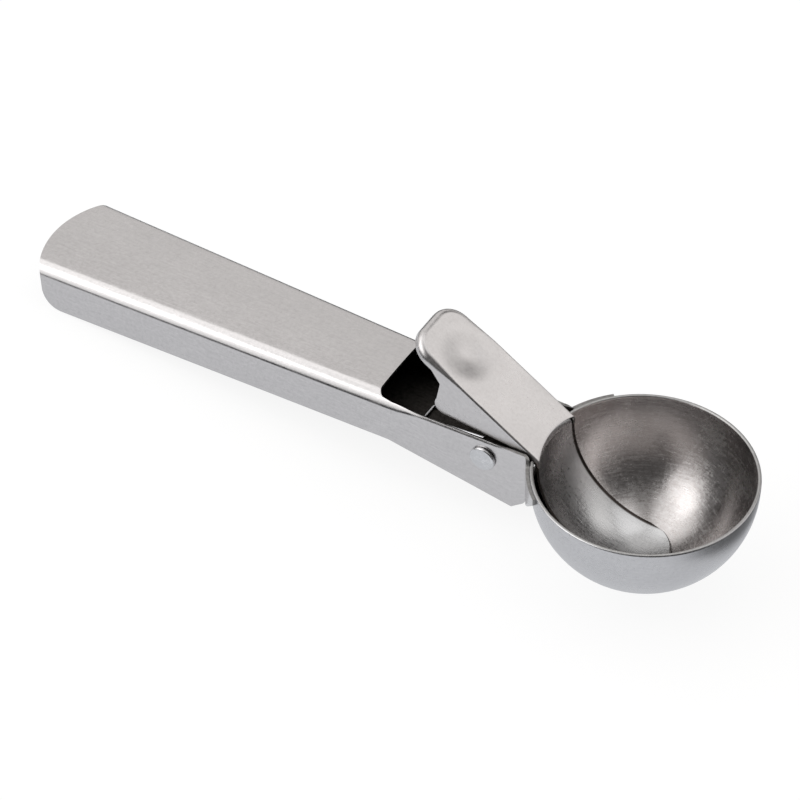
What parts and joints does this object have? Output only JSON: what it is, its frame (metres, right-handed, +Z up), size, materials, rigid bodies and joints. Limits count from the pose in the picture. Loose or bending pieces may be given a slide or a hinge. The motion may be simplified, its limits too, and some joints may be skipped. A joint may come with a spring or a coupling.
{
  "type": "lever ice cream scoop",
  "caption": "Stainless scoop with a deep round bowl on a folded sheet handle; a sprung thumb lever sweeps a curved blade through the bowl to push the portion out.",
  "frame": {"origin": "middle of the bounding box at the base: the level on which the bowl's bottom and the handle's rear lower corners rest", "axes": "+X along the tool from the handle's end to the bowl, +Y to the left, +Z up with the bowl open upwards"},
  "size_m": [0.189, 0.052, 0.0416],
  "materials": {
    "handle_steel": "satin brushed",
    "plate_steel": "satin",
    "bowl_steel": "satin brushed in circles",
    "thumb_steel": "satin brushed",
    "blade_steel": "satin brushed across",
    "rivet_steel": "bright",
    "washer_steel": "plain",
    "spring_steel": "bright drawn wire"
  },
  "bodies": {
    "frame": {"handle_channel": "handle_steel", "underside_plate": "plate_steel", "bowl": "bowl_steel", "pivot_rivet": "rivet_steel", "spacer_washers": "washer_steel", "torsion_spring": "spring_steel"},
    "lever": {"thumb_plate": "thumb_steel", "ejector_blade": "blade_steel"}
  },
  "joints": [
    {"name": "lever_hinge", "type": "hinge", "parent": "frame", "child": "lever", "pos_m": [0.03331, 0, 0.01907], "axis": [0, -1, 0], "range_deg": [0, 34.5], "stiffness_Nm_per_rad": 0.18, "springref_deg": -51.57, "deforming": ["torsion_spring"]}
  ]
}
